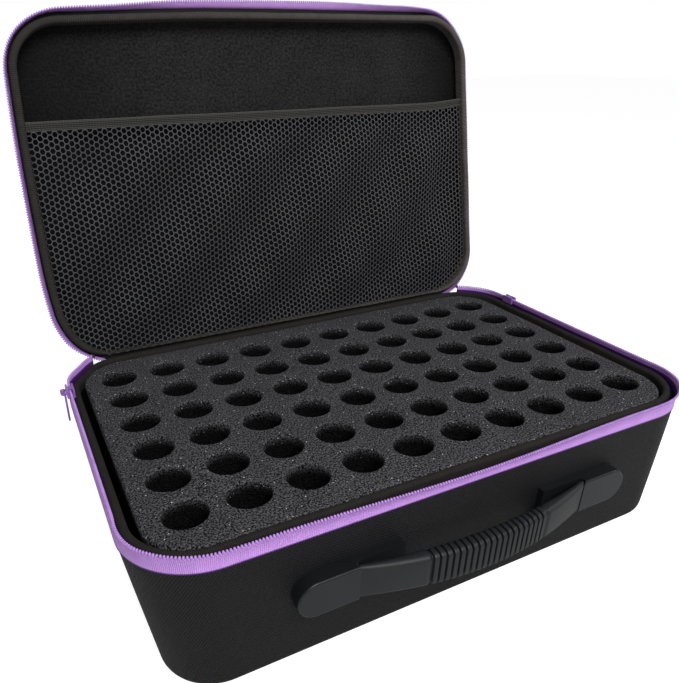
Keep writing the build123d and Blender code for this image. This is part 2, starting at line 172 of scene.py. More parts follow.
def node(tree, kind, inputs=(), **settings):
    """One shader node. Each input takes a number, a colour or another node's output."""
    made = tree.nodes.new("ShaderNode" + kind)
    for key, value in settings.items():
        setattr(made, key, value)
    for key, value in dict(inputs).items():
        if isinstance(value, bpy.types.NodeSocket):
            tree.links.new(value, made.inputs[key])
        else:
            made.inputs[key].default_value = value
    return made


def new_finish(name, roughness, **shine):
    """A material with one Principled shader: the material, its tree and its shader."""
    made = bpy.data.materials.new(name)
    made.use_nodes = True
    tree = made.node_tree
    shader = tree.nodes["Principled BSDF"]
    shader.inputs["Roughness"].default_value = roughness
    for key, value in shine.items():
        shader.inputs[key.replace("_", " ")].default_value = value
    return made, tree, shader


def coordinates(tree, kind, axis=None):
    """A point's place on the UV map or in the object, in metres: all of it, or one axis."""
    place = node(tree, "TexCoord").outputs[kind]
    return place if axis is None else node(tree, "SeparateXYZ", {"Vector": place}).outputs[axis]


def number(tree, operation, *values, clamp=False):
    """One Math node's output."""
    return node(tree, "Math", dict(enumerate(values)), operation=operation, use_clamp=clamp).outputs[0]


def scaled(tree, value, by, plus=0.0, clamp=False):
    """A value times one number, plus another number or value."""
    return number(tree, "MULTIPLY_ADD", value, by, plus, clamp=clamp)


def ramp(tree, value, start, end):
    """0 up to the start and 1 from the end on, with a straight rise between. Both are in millimetres."""
    return scaled(tree, value, 1 / ((end - start) * mm), -start / (end - start), clamp=True)


def waves(tree, place, period, way, distortion):
    """Bands of one period in metres, as a height from 0 to 1."""
    return node(tree, "TexWave", {"Vector": place, "Scale": 0.314159 / period, "Distortion": distortion,
                                  "Detail": 1.0, "Detail Scale": 2.0}, bands_direction=way).outputs["Fac"]


def grain(tree, place, size, detail=2.0):
    """Soft noise whose lumps are about one size in metres, from 0 to 1."""
    return node(tree, "TexNoise", {"Vector": place, "Scale": 1 / size, "Detail": detail}).outputs["Fac"]


def blend_colours(tree, share, low, high):
    """A colour from low to high by a share."""
    return node(tree, "Mix", {"Factor": share, "A": low, "B": high}, data_type="RGBA").outputs["Result"]


def dye(tree, shader, share, low, high):
    """Gives a finish its colour, from low to high by a share."""
    tree.links.new(blend_colours(tree, share, low, high), shader.inputs["Base Color"])


def raise_bumps(tree, shader, height, depth):
    """Turns a height into a bump of a depth in metres."""
    bump = node(tree, "Bump", {"Height": height, "Distance": depth})
    tree.links.new(bump.outputs["Normal"], shader.inputs["Normal"])


def woven_cover(name, low, high):
    """Plain weave laid on the bias: two sets of threads at right angles, each thread crowned, with
    uneven yarn and a slight rub on the crowns."""
    made, tree, shader = new_finish(name, 0.62, Specular_IOR_Level=0.22)
    uv = coordinates(tree, "UV")
    turned = node(tree, "Mapping", {"Vector": uv, "Rotation": (0, 0, weave_turn)}).outputs[0]
    threads = number(tree, "MULTIPLY", waves(tree, turned, weave_period, "X", 0.3),
                     scaled(tree, waves(tree, turned, weave_period, "Y", 0.3), 0.6, 0.4))
    yarn = grain(tree, uv, 2.2 * mm, 3)
    rub = scaled(tree, grain(tree, uv, 30 * mm), 0.3, -0.15)
    dye(tree, shader, scaled(tree, threads, 1.1, rub, clamp=True), low, high)
    tree.links.new(scaled(tree, yarn, -0.25, 0.74), shader.inputs["Roughness"])
    raise_bumps(tree, shader, scaled(tree, yarn, 0.5, threads), 0.4 * mm)
    return made


cover = woven_cover("woven_nylon_cover", colour(3, 3, 4), colour(35, 35, 38))
# The soft left back corner of the rim is pressed in by this much, but not where the slider runs
pinch = -4.8 * bell(all_round, 63, 6.5)
rows = rounded_foot(foot_round)
for height in np.linspace(foot_round, base_height - 0.8, 16)[1:]:
    share = (height - foot_round) / (base_height - foot_round)
    row = ring(base_outline(height))
    swell = wall_swell * np.sin(np.pi * share) * unevenness(row[:, 0] + row[:, 1], 0, swell_length)
    rows.append(ring(base_outline(height), swell + pinch * share**2, height))
rows += [ring(rim, pinch - inset, base_height - drop) for inset, drop in (*edge_fold, (board, 0))]
rows += [ring(base_outline(height), -inset, height)
         for inset, height in ((board, 45), (board + 1, 10), (foot_round, board))]
base_shell = surface("covered_base_shell", np.stack(rows), cover, caps="first last")
fit(base_shell, "base", "shell_fabric", "base_shell")

# Base lining
# Brushed polyester cloth, bonded to the inside of the board in the same press. It shows only round
# the edge of the foam.
skin_inset, inner_round = 5.7, 2.3
# Painted shade on the lining: pale above the lid's pocket and less so toward its ends, dark below the
# pocket's top, where the net would shade it. The base's lining, below these heights, takes the full painted
# shade
net_shadow_edge, wall_shade_left, wall_shade_right = (256, 262), (-190, -80), (190, 130)


def brushed_cloth(name, low, high):
    """Brushed cloth: a short uneven nap over a fine knit, with painted shade: palest in the middle above
    the pocket net, darker toward both side walls, and dark below the net's top, where the net would shade
    it.
    """
    made, tree, shader = new_finish(name, 0.9, Specular_IOR_Level=0.12)
    uv = coordinates(tree, "UV")
    nap = scaled(tree, grain(tree, uv, 1.9 * mm, 4), 3.6, -1.3, clamp=True)
    knit = number(tree, "MULTIPLY", waves(tree, uv, 1.3 * mm, "X", 0.8),
                  waves(tree, uv, 1.0 * mm, "Y", 0.8))
    height = scaled(tree, knit, 0.35, nap)
    tone = scaled(tree, height, 0.6, scaled(tree, grain(tree, uv, 22 * mm), 0.4), clamp=True)
    across = coordinates(tree, "Object", "X")
    # Painted shade: lit in the middle, darker toward the side walls and below the pocket net's top
    middle = number(tree, "MULTIPLY", ramp(tree, across, *wall_shade_left), ramp(tree, across, *wall_shade_right))
    painted_light_share = number(tree, "MULTIPLY", middle, ramp(tree, coordinates(tree, "Object", "Z"), *net_shadow_edge))
    dye(tree, shader, number(tree, "MULTIPLY", tone, scaled(tree, painted_light_share, 0.8, 0.2)), low, high)
    raise_bumps(tree, shader, height, 0.3 * mm)
    return made


def thicken(made, depth, offset=-1.0):
    """Gives a cloth its thickness, in millimetres, with a Solidify modifier."""
    solid = made.modifiers.new("thickness", "SOLIDIFY")
    solid.thickness, solid.offset, solid.use_even_offset = depth * mm, offset, False
    return made


napped = brushed_cloth("brushed_lining", colour(5, 5, 6), colour(49, 48, 48))
rows = [ring(base_outline(height), pinch * (height / base_height) ** 4 - skin_inset, height)
        for height in np.linspace(base_height, skin_inset + inner_round, 10)]
rows += rounded_foot(inner_round, skin_inset, skin_inset, 6)[-2::-1]
base_lining = thicken(surface("base_lining_cloth", np.stack(rows), napped, caps="last"), 1.0)
fit(base_lining, "base", "lining_cloth", "base_lining")

# Base binding
# A ribbed ribbon folded over the inner edge of the board and sewn through, so it stands as a soft
# rolled lip round the opening.
binding_outline = np.array([191.0, 123.5, 39.0])
binding_width, binding_foot, binding_top = 5.0, 86.5, 94.0
roll_height, roll_fullness = 2.3, 0.25


def ribbed_ribbon(name, low, high, rib, shaded_left=False):
    """Grosgrain ribbon: ribs straight across it, with a fine thread along it. When asked for, painted shade
    makes it darker toward the left and palest toward the right."""
    made, tree, shader = new_finish(name, 0.8, Specular_IOR_Level=0.2)
    uv = coordinates(tree, "UV")
    height = scaled(tree, waves(tree, uv, 0.7 * mm, "Y", 0.6), 0.3, waves(tree, uv, rib, "X", 0.4))
    tone = scaled(tree, height, 0.5, scaled(tree, grain(tree, uv, 9 * mm, 3), 0.45), clamp=True)
    if shaded_left:
        # Painted shade: darker toward the left, lit toward the right
        painted_light_share = scaled(tree, coordinates(tree, "Object", "X"), 0.35 / 0.19, 0.65, clamp=True)
        tone = number(tree, "MULTIPLY", tone, painted_light_share)
    dye(tree, shader, tone, low, high)
    raise_bumps(tree, shader, height, 0.3 * mm)
    return made


def rolled_lip(low, high, wave, shift, width=binding_width):
    """The ribbon's section carried round the opening: flat sides from the board up, closed by a half
    round on top, whose height and fullness waver a little along the way."""
    middle = ring(binding_outline)
    waver = unevenness(middle[:, 0], middle[:, 1], 0.075)
    rows = [ring(binding_outline, shift, low)]
    for turn in np.radians(np.linspace(0, 180, 13)):
        out = width / 2 * (np.cos(turn) - 1) + roll_fullness * waver * (turn <= np.pi / 2)
        height = high + roll_height * (np.sin(turn) - 1) + wave * waver
        rows.append(ring(binding_outline, shift + out, height))
    rows.append(ring(binding_outline, shift - width, low))
    return np.stack(rows + rows[:1])


ribbon = ribbed_ribbon("binding_ribbon", colour(7, 7, 7), colour(52, 49, 46), 0.9 * mm)
base_binding = surface("base_binding_ribbon", rolled_lip(binding_foot, binding_top, 0.35, pinch), ribbon)
fit(base_binding, "base", "binding_ribbon", "base_binding")

# Base zip tape
# A woven polyester strip with fine ribs, sewn to the outside of the rim. It starts in one back corner
# and ends in the other, stands up along both sides, where the sliders run, and leans outwards in front.
tape_outline = rim - 0.7
# The chain ends this many degrees into each back corner
chain_end_turn = 29.0
tape_start = stations[1] + (stations[2] - stations[1]) * chain_end_turn / 90
tape_length, tape_drop, tape_out, tape_stuck = 11.5, 3.5, 0.5, 0.25
# Two dye tones, then the deep purple of the painted shadow line at the seam and the painted shade on the
# inner face
tape_dye_and_shade = colour(166, 112, 206), colour(230, 178, 254), colour(70, 24, 108)
# Width of the painted shadow line at the seam, and how much further the painted shade reaches on the base's
# inner face
seam_shadow_width, inner_face_shade = 0.5, 8.2


def leaning_strip(at, lean, length, seam_out, seam_height, way, stuck=0.0, rows=11):
    """A strip that starts upright at its seam, lies on the wall for the stuck share of its length, and
    then leans further out the nearer to its free edge. Each step goes one part of its length along the
    direction turned by the lean, and the steps are added up. It gives the rows of points, and the
    direction in which the strip points at its free edge."""
    free = np.clip((np.linspace(0, 1, rows)[:, None] - stuck) / (1 - stuck), 0, 1)
    turn = np.radians(lean) * free * (2 - free)
    between = (turn[1:] + turn[:-1]) / 2
    step = length / (rows - 1)
    out = seam_out + np.vstack([0 * turn[:1], np.cumsum(np.sin(between), 0)]) * step
    lift = seam_height + way * np.vstack([0 * turn[:1], np.cumsum(np.cos(between), 0)]) * step
    strip = np.stack([ring(tape_outline, out[n], lift[n], at) for n in range(rows)])
    inside = ring(tape_outline, out[-1] - np.sin(turn[-1]), lift[-1] - way * np.cos(turn[-1]), at)
    return strip, (strip[-1] - inside) / mm


def zip_tape(name, low, high, seam, shaded):
    """Zip tape: fine ribs across it, a fine thread along it, a slight change of dye, and a painted shadow
    line at its seam, which is the first row of its points. On its inner face the painted shade reaches
    further from the seam."""
    made, tree, shader = new_finish(name, 0.6, Specular_IOR_Level=0.4)
    uv = coordinates(tree, "UV")
    height = scaled(tree, waves(tree, uv, 0.8 * mm, "Y", 0.3), 0.4, waves(tree, uv, 1.0 * mm, "X", 0.2))
    tone = scaled(tree, height, 0.45, scaled(tree, grain(tree, uv, 12 * mm, 3), 0.4), clamp=True)
    # Painted shade: the inner face, which faces the middle, is painted dark further from the seam
    normal = node(tree, "NewGeometry").outputs["Normal"]
    facing = node(tree, "VectorMath", {0: normal, 1: coordinates(tree, "Object")}, operation="DOT_PRODUCT")
    inner = number(tree, "LESS_THAN", facing.outputs["Value"], 0.0)
    past_seam = number(tree, "SUBTRACT", coordinates(tree, "UV", "Y"),
                       scaled(tree, inner, shaded * mm, seam_shadow_width * mm))
    free = scaled(tree, past_seam, 1 / (0.9 * mm), clamp=True)
    dye(tree, shader, free, seam, blend_colours(tree, tone, low, high))
    raise_bumps(tree, shader, height, 0.18 * mm)
    return made


dyed_tape = zip_tape("dyed_zip_tape", *tape_dye_and_shade, inner_face_shade)
base_tape_at = np.linspace(tape_start, whole_way - tape_start, 400)
base_lean = eased(base_tape_at, [0, 64, 74, 126, 138, 158, 200, 242, 260, 274, 326, 336, 400],
                  [0, 0, -7.5, -7.5, 16, 26, 50, 26, 14, -7.5, -7.5, 0, 0])
tape_pinch = np.interp(base_tape_at, all_round, pinch)
base_strip, base_edge_way = leaning_strip(
    base_tape_at, base_lean, tape_length, tape_pinch + tape_out, base_height - tape_drop, 1, tape_stuck)
base_tape = thicken(surface("base_zip_tape_strip", base_strip, dyed_tape, closed=False), 0.6, 0)
fit(base_tape, "base", "zip_tape", "base_zip_tape")

# Base zip teeth
# A nylon monofilament coil, sewn along the free edge of the tape. Each turn of the coil ends in a
# rounded head, which is all that shows.
tooth_pitch, tooth_width, tooth_depth = 1.8, 0.68, 0.85
# Along a head: how far it is past the tape's edge, and how full
tooth_reach = np.array([-0.1, 0.1, 0.6, 1.4, 1.75, 1.95])
tooth_full = np.array([0.55, 0.9, 1.0, 1.0, 0.8, 0.4])
tooth_sides = 8


def coil_heads(name, edge, way, finish):
    """One rounded peg for each turn of the coil, at equal steps along the tape's edge. A peg is a ring
    of points carried along the way the tape points, wide in its middle and narrow at both ends."""
    length = np.append(0, np.cumsum(np.linalg.norm(np.diff(edge, axis=0), axis=1)))
    count = int(length[-1] / (tooth_pitch * mm))
    place = (np.arange(count) + 0.5) * length[-1] / count
    middle, up, along = (
        np.stack([np.interp(place, length, values[:, axis]) for axis in range(3)], -1)
        for values in (edge, way, np.gradient(edge, axis=0)))
    along /= np.linalg.norm(along, axis=1, keepdims=True)
    up /= np.linalg.norm(up, axis=1, keepdims=True)
    face = np.cross(along, up)
    turn = np.arange(tooth_sides) * 2 * np.pi / tooth_sides
    around = (np.cos(turn)[:, None] * along[:, None, :] * tooth_width * mm
              + np.sin(turn)[:, None] * face[:, None, :] * tooth_depth * mm)
    pegs = (middle[:, None, None] + up[:, None, None] * tooth_reach[:, None, None] * mm
            + around[:, None] * tooth_full[:, None, None])
    index = np.arange(pegs.size // 3).reshape(pegs.shape[:3])
    after = np.roll(index, -1, 2)
    sides = np.stack([index[:, :-1], after[:, :-1], after[:, 1:], index[:, 1:]], -1).reshape(-1, 4)
    ends = np.concatenate([index[:, 0, ::-1], index[:, -1]])
    return piece(name, pegs.reshape(-1, 3), sides.tolist() + ends.tolist(), finish)


def clouded(name, low, high, roughness, cloud, texture, depth, uneven=0.0, **shine):
    """One colour with soft clouding, and a fine even texture that roughens it by the uneven share. The
    clouding and the texture are each a size in metres and a detail."""
    made, tree, shader = new_finish(name, roughness, **shine)
    place = coordinates(tree, "Object")
    dye(tree, shader, grain(tree, place, *cloud), low, high)
    fine = grain(tree, place, *texture)
    if uneven:
        tree.links.new(scaled(tree, fine, uneven, roughness - uneven / 2), shader.inputs["Roughness"])
    raise_bumps(tree, shader, fine, depth)
    return made


# Dyed nylon, satin
dyed_coil = clouded("dyed_nylon_coil", colour(160, 112, 198), colour(206, 160, 236), 0.38,
                    (5 * mm, 3), (0.5 * mm, 2), 0.05 * mm)
base_teeth = coil_heads("base_zip_coil_heads", base_strip[-1], base_edge_way, dyed_coil)
fit(base_teeth, "base", "zip_coil", "base_zip_coil")

# Foam pad
# A plain slab of polyurethane foam on the floor, which the bottles stand on.
pad_floor, insert_floor, foam_top = 5.9, 25.9, 92.0
foam_clear, pad_edge, pad_gap = 6.2, 0.8, 0.1
# Painted shade down the holes: the foam is painted fully lit from the second height up, and nearly dark
# below the first
foam_light = 84, 91


def open_cell_foam(name, low, high, painted_glint):
    """Open-cell foam: a fine mesh of cell walls round dark pores, with painted glints, a few bright specks
    standing in for walls that catch the light. Down in a hole it is painted darker with depth, a painted
    shade, and the glints fade out there too."""
    made, tree, shader = new_finish(name, 0.9, Specular_IOR_Level=0.05)
    place = coordinates(tree, "Object")
    cells, sparse = (node(tree, "TexVoronoi", {"Vector": place, "Scale": 1 / (size * mm)}).outputs
                     for size in (1.3, 2.6))
    fine = grain(tree, place, 1.0 * mm, 3)
    speckle = scaled(tree, cells["Distance"], 0.25, scaled(tree, fine, 4.3, -1.8), clamp=True)
    cloud = scaled(tree, grain(tree, place, 30 * mm), 0.5, 0.75)
    # Painted shade: darker with depth down each hole
    lit_share = ramp(tree, coordinates(tree, "Object", "Z"), *foam_light)
    lit = scaled(tree, number(tree, "MULTIPLY", lit_share, lit_share), 0.94, 0.06)
    tone = number(tree, "MULTIPLY", number(tree, "MULTIPLY", speckle, cloud), lit, clamp=True)
    # Painted glints: sparse bright specks, faded out down the holes
    dot = number(tree, "LESS_THAN", sparse["Distance"], 0.15)
    random = node(tree, "SeparateColor", {"Color": sparse["Color"]}).outputs[0]
    bright = number(tree, "MULTIPLY", dot, number(tree, "GREATER_THAN", random, 0.7))
    bright = number(tree, "MULTIPLY", bright, lit_share)
    dye(tree, shader, bright, blend_colours(tree, tone, low, high), painted_glint)
    raise_bumps(tree, shader, scaled(tree, fine, 0.8, cells["Distance"]), 0.7 * mm)
    return made


# The third colour is that of the painted glints
foam = open_cell_foam("open_cell_foam", colour(3, 3, 4), colour(97, 96, 99), colour(190, 188, 188))
rows = rounded_foot(inner_round, pad_floor, foam_clear, 7)
rows += [ring(base_outline(height), -foam_clear, height)
         for height in np.linspace(pad_floor + inner_round, insert_floor - pad_edge, 4)[1:]]
rows.append(ring(base_outline(insert_floor), -foam_clear - pad_edge, insert_floor - pad_gap))
foam_pad = surface("foam_pad_slab", np.stack(rows), foam, caps="first last")
fit(foam_pad, "base", "foam", "foam_pad")

# Foam insert
# A thick slab of the same foam with 60 holes cut through it in one stroke of a die, so their lips
# are a little soft and each hole is slightly out of true.
pitch, hole_radius, edge_round = 35.0, 12.5, 2.5
lip_flare, lip_round = 0.9, 1.2
foam_top_outline = np.array([181.5, 118.0, 31.0])
foam_foot_outline = base_outline(insert_floor) - foam_clear
hole_column, hole_row = (index.ravel() for index in np.meshgrid(np.arange(10), np.arange(6)))
hole_x, hole_y = (hole_column - 4.5) * pitch, (hole_row - 2.5) * pitch
per_side = 12


def tile_edges(outline):
    """Each hole's share of the foam is a rectangle of 48 edge points, half a pitch to each side and out
    to the outline at the border. A point past a rounded corner's arc is drawn back along its line from
    the hole's middle to the arc, by the quadratic for a line and a circle."""
    half_length, half_width, radius = outline
    right = np.where(hole_column == 9, half_length, hole_x + pitch / 2)[:, None]
    left = np.where(hole_column == 0, -half_length, hole_x - pitch / 2)[:, None]
    back = np.where(hole_row == 5, half_width, hole_y + pitch / 2)[:, None]
    front = np.where(hole_row == 0, -half_width, hole_y - pitch / 2)[:, None]
    share = np.arange(per_side) / per_side
    still = 0 * share
    across, up = (right - left) * share, (back - front) * share
    x = np.hstack([right + still, right - across, left + still, left + across])
    y = np.hstack([front + up, back + still, back - up, front + still])
    way_x, way_y = x - hole_x[:, None], y - hole_y[:, None]
    arc_x, arc_y = np.sign(x) * (half_length - radius), np.sign(y) * (half_width - radius)
    from_x, from_y = hole_x[:, None] - arc_x, hole_y[:, None] - arc_y
    a = way_x**2 + way_y**2
    b = from_x * way_x + from_y * way_y
    c = from_x**2 + from_y**2 - radius**2
    reach = (-b + np.sqrt(np.maximum(b**2 - a * c, 0))) / a
    past = (np.abs(x) > np.abs(arc_x) + 1e-6) & (np.abs(y) > np.abs(arc_y) + 1e-6)
    reach = np.where(past, np.minimum(reach, 1), 1)
    return hole_x[:, None] + way_x * reach, hole_y[:, None] + way_y * reach


top_x, top_y = tile_edges(foam_top_outline - edge_round)
facing = np.arctan2(top_y - hole_y[:, None], top_x - hole_x[:, None])
out_of_true = 0.25 * np.sin(2 * facing + hole_column[:, None] * 1.7 + hole_row[:, None] * 2.3)


def hole_ring(radius, height):
    """Points round each hole at one radius and height, out of true in the upper part."""
    reach = radius + out_of_true * (height > 60)
    return (hole_x[:, None] + reach * np.cos(facing), hole_y[:, None] + reach * np.sin(facing),
            height + 0 * facing)


foot_x, foot_y = tile_edges(foam_foot_outline)
levels = [(foot_x, foot_y, insert_floor + 0 * foot_x)]
levels += [hole_ring(hole_radius, height) for height in (insert_floor, 36, 50, 64, 76, 85, 90.4)]
levels += [
    hole_ring(hole_radius + lip_flare * (1 - np.cos(turn)), foam_top + lip_round * (np.sin(turn) - 1))
    for turn in np.radians((25, 50, 70, 90))]
lip_x, lip_y, lip_z = levels[-1]
levels += [(lip_x + (top_x - lip_x) * share, lip_y + (top_y - lip_y) * share, lip_z)
           for share in (0.3, 0.65, 1.0)]
inside_count = len(levels)
for turn in np.radians((22, 45, 68, 90)):
    x, y = tile_edges(foam_top_outline - edge_round * (1 - np.sin(turn)))
    levels.append((x, y, foam_top - edge_round * (1 - np.cos(turn)) + 0 * x))
for share in (0.3, 0.65, 1.0):
    x, y = tile_edges(foam_top_outline + (foam_foot_outline - foam_top_outline) * share)
    height = foam_top - edge_round + (insert_floor - foam_top + edge_round) * share
    levels.append((x, y, height + 0 * x))
foam_points = np.stack([np.stack(level, -1) for level in levels])
# The slab's top dips a little in slow waves
x, y, z = np.moveaxis(foam_points, -1, 0)
foam_points[..., 2] += 0.35 * np.clip((z - 80) / 10, 0, 1) * unevenness(x, y, 120)
number_of = np.arange(foam_points.size // 3).reshape(foam_points.shape[:3])
number_of = np.concatenate([number_of, number_of[:, :, :1]], 2)
quads = np.stack([number_of[:-1, :, :-1], number_of[:-1, :, 1:],
                  number_of[1:, :, 1:], number_of[1:, :, :-1]], -1)
side_of = np.arange(4 * per_side) // per_side
at_border = np.stack([hole_column == 9, hole_row == 5, hole_column == 0, hole_row == 0], -1)[:, side_of]
inner_quads = quads[: inside_count - 1].reshape(-1, 4)
outer_quads = quads[inside_count - 1:][:, at_border].reshape(-1, 4)
merged, same = np.unique(np.round(foam_points.reshape(-1, 3), 4), axis=0, return_inverse=True)
foam_faces = same.reshape(-1)[np.concatenate([inner_quads, outer_quads])]
foam_insert = piece("foam_insert_slab", merged * mm, foam_faces.tolist(), foam)
fit(foam_insert, "base", "foam", "foam_insert")

# Handle mounts
# Two injection-moulded caps screwed to the front wall, satin, with a fine moulded grain.


def moulded(name, low, high, roughness, size, depth):
    """Moulded plastic or rubber: one colour with slight clouding, and a fine even grain."""
    return clouded(name, low, high, roughness, (18 * mm, 3), (size * mm, 2), depth * mm, 0.16,
                   Specular_IOR_Level=0.35)


def refinish(finish, *names):
    """Puts a finish on CAD nodes that keep their own shape."""
    for name in names:
        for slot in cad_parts[name].material_slots:
            slot.material = finish


refinish(moulded("moulded_mounts", colour(15, 18, 20), colour(23, 26, 28), 0.36, 0.6, 0.05),
         "handle_mount_left", "handle_mount_right")

# Handle grip
# A bowed bar of soft rubber moulded over a strap, plain at its ends and ribbed where the fingers go.
# Each end sits in the notch of a mount and is held by the mount's inner screw.
wall_lean = np.arctan2(rim[1] - foot[1], base_height)
handle_height = 51.0
handle_wall = base_outline(handle_height)[1]
grip_half_length, grip_rise, grip_end_rise, grip_end_inner = 79.0, 23.0, 9.4, 5.3
grip_thickness, grip_half_height, grip_edge = 10.0, 11.0, 3.0
rib_count, rib_pitch, rib_rows, groove_depth = 20, 4.1, 10, 1.4
bowed_half_length = 81.2


def bow(share, end, middle):
    """A point on the arc through both ends and the middle: the circle's angle runs evenly with the share
    from -1 to 1."""
    rise = middle - end
    radius = (grip_half_length**2 + rise**2) / (2 * rise)
    turn = np.arcsin(grip_half_length / radius) * share
    return np.stack([radius * np.sin(turn), middle - radius + radius * np.cos(turn)])


# Stations along the grip, and how deep the grooves cut at each
ribbed_share = rib_count * rib_pitch / 2 / bowed_half_length
share = np.concatenate([np.linspace(-1, -ribbed_share, 20)[:-1],
                        np.linspace(-ribbed_share, ribbed_share, rib_count * rib_rows + 1),
                        np.linspace(ribbed_share, 1, 20)[1:]])
phase = (share + ribbed_share) / (2 * ribbed_share) * rib_count
cut = np.clip((np.cos(2 * np.pi * phase) - 0.25) / 0.55, 0, 1) * (np.abs(share) <= ribbed_share + 1e-9)
cut = groove_depth * cut**2 * (3 - 2 * cut)
# The middle line in plan and half the thickness, with a round added at each end
outer, inner = bow(share, grip_end_rise, grip_rise), bow(share, grip_end_inner, grip_rise - grip_thickness)
middle, half = (outer + inner) / 2, (outer - inner) / 2
end_turn = np.radians([88, 66, 44, 22])
end_radius = (grip_end_rise - grip_end_inner) / 2
end_reach = np.array([end_radius * np.sin(end_turn), 0 * end_turn])
middle = np.hstack([middle[:, [0]] - end_reach, middle, middle[:, [-1]] + end_reach[:, ::-1]])
half = np.hstack([half[:, [0]] * np.cos(end_turn), half, half[:, [-1]] * np.cos(end_turn[::-1])])
cut = np.pad(cut, len(end_turn))[:, None]
# The section: four rounded corners, cut by the grooves on the outside, above and below
quarter = np.radians(np.linspace(0, 90, 6))
corner_out = np.concatenate([np.cos(quarter), -np.sin(quarter), -np.cos(quarter), np.sin(quarter)])
corner_up = np.concatenate([np.sin(quarter), np.cos(quarter), -np.sin(quarter), -np.cos(quarter)])
side_out, side_up = np.repeat([1, -1, -1, 1], 6), np.repeat([1, 1, -1, -1], 6)
thick = np.linalg.norm(half, axis=0)[:, None]
edge = np.minimum(grip_edge, 0.92 * thick)
over = side_out * (thick - edge) + corner_out * edge - (side_out > 0) * cut
up = (side_up * (grip_half_height - edge) + corner_up * edge
      - np.sign(corner_up) * (np.abs(corner_up) > 0.02) * cut)
along, out = middle[:, :, None] + (half / thick.T)[:, :, None] * over
grip_grid = np.stack([along, -handle_wall - out * np.cos(wall_lean) - up * np.sin(wall_lean),
                      handle_height - out * np.sin(wall_lean) + up * np.cos(wall_lean)], -1) * mm
rubber = moulded("soft_grip_rubber", colour(22, 24, 25), colour(32, 35, 36), 0.5, 0.5, 0.06)
grip = surface("ribbed_handle_grip", grip_grid, rubber, caps="first last")
fit(grip, "base", "grip_rubber", "handle_grip")

# Handle screws and backing plates
# Zinc-plated screws from inside the case, through a moulded plate on each side that spreads the pull.
# The zip's two end stops are plated in the same way.


def plated(name, low, high):
    """Zinc plate: bright, with a faint brushed streak along it."""
    made, tree, shader = new_finish(name, 0.32, Metallic=1.0)
    place = coordinates(tree, "Object")
    drawn_out = node(tree, "Mapping", {"Vector": place, "Scale": (1, 1, 9)}).outputs[0]
    streak = grain(tree, drawn_out, 2 * mm, 4)
    dye(tree, shader, streak, low, high)
    tree.links.new(scaled(tree, streak, 0.25, 0.2), shader.inputs["Roughness"])
    raise_bumps(tree, shader, streak, 0.03 * mm)
    return made


refinish(plated("zinc_plate", colour(150, 150, 152), colour(196, 196, 198)), "handle_screws", "zip_stops")
refinish(moulded("moulded_backing", colour(34, 34, 34), colour(46, 46, 46), 0.6, 0.8, 0.08),
         "handle_backing_left", "handle_backing_right")

# Lid shell
# The same board and cover, pressed shallow. It stands open 99 degrees, held by the cloth hinge.
lid_rim_lift, lid_height, lid_top_inset, lid_round, lid_board = 11.5, 14.0, 4.0, 9.0, 4.0
seat_height, hinge_y, hinge_z, open_turn = 97.5, 121.0, 96.1, np.radians(99.1)
lid_axes = np.array([[1, 0, 0], [0, np.cos(open_turn), -np.sin(open_turn)],
                     [0, np.sin(open_turn), np.cos(open_turn)]])
hinge_to_seat = np.array([0, -hinge_y, seat_height - hinge_z])
lid_origin = (np.array([0, hinge_y, hinge_z]) + hinge_to_seat @ lid_axes) * mm
# The lid's two left corners are pressed in by this much, which fades over this depth
lid_pinch = -4.4 * bell(all_round, 146, 26) - 3.2 * bell(all_round, 66, 10)
pinch_depth = 20


def on_lid(points):
    """Points of the closed lid, with heights from its seat, turned back about the hinge line."""
    return points @ lid_axes + lid_origin


def lid_outline(depth):
    """The lid's outline at a depth behind its rim."""
    return rim - lid_top_inset * depth / lid_height


def rounded_top(radius, inset, steps, press=0.0):
    """Rows of a quarter round, from the lid's wall to its flat top, inside the lid's outline by the
    inset."""
    rows = []
    for turn in np.radians(np.linspace(0, 90, steps)):
        depth = lid_height - inset - radius * (1 - np.sin(turn))
        out = press * (1 - depth / pinch_depth) - radius * (1 - np.cos(turn)) - inset
        rows.append(ring(lid_outline(depth), out, lid_rim_lift + depth))
    return rows


lid_ceiling = lid_height - lid_board
rows = [ring(lid_outline(lid_ceiling), -lid_round, lid_rim_lift + lid_ceiling),
        ring(lid_outline(lid_ceiling), -lid_board - 2, lid_rim_lift + lid_ceiling - 1)]
rows += [ring(lid_outline(depth), lid_pinch - lid_board, lid_rim_lift + depth) for depth in (4, 0)]
rows += [ring(rim, lid_pinch - inset, lid_rim_lift + drop) for inset, drop in edge_fold[::-1]]
rows += [ring(lid_outline(depth), lid_pinch * (1 - depth / pinch_depth), lid_rim_lift + depth)
         for depth in np.linspace(0.8, lid_height - lid_round, 5)]
rows += rounded_top(lid_round, 0, 9, lid_pinch)[1:]
lid_shell = surface("covered_lid_shell", np.stack(rows), cover, caps="first last", place=on_lid)
fit(lid_shell, "lid", "shell_fabric", "lid_shell")

# Lid lining
# Brushed cloth bonded inside the lid, down its walls to the binding.
lid_skin = 5.2
rows = rounded_top(lid_round - lid_skin, lid_skin, 7)[::-1]
rows += [ring(lid_outline(depth), lid_pinch * (1 - depth / 8) - lid_skin, lid_rim_lift + depth)
         for depth in (3.5, 2.0, 0.0)]
lid_lining = thicken(surface("lid_lining_cloth", np.stack(rows), napped, caps="first", place=on_lid), 1.0)
fit(lid_lining, "lid", "lining_cloth", "lid_lining")

